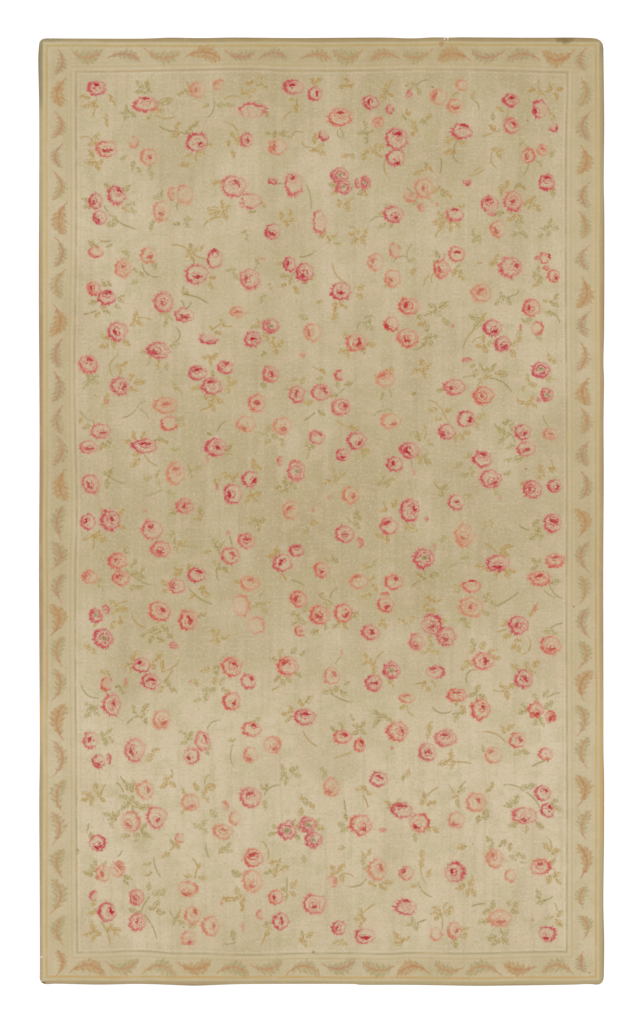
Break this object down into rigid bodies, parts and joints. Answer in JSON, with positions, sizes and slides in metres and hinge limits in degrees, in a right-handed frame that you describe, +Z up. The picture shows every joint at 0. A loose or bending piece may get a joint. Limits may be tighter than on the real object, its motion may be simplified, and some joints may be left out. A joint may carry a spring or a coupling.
{
  "type": "aubusson rug",
  "caption": "Large flat tapestry-woven wool rug with scattered rose sprays on a cream field and a leaf border; lies flat on a floor.",
  "frame": {"origin": "middle of the underside, on the floor", "axes": "+Z up out of the face, +Y along the length towards the picture's top edge, +X across the width"},
  "size_m": [2.8308, 4.7426, 0.003],
  "materials": {
    "woven_wool": "matt tapestry weave, cream ground with worn rose and leaf colours"
  },
  "bodies": {
    "root": {"rug": "woven_wool"}
  },
  "joints": []
}
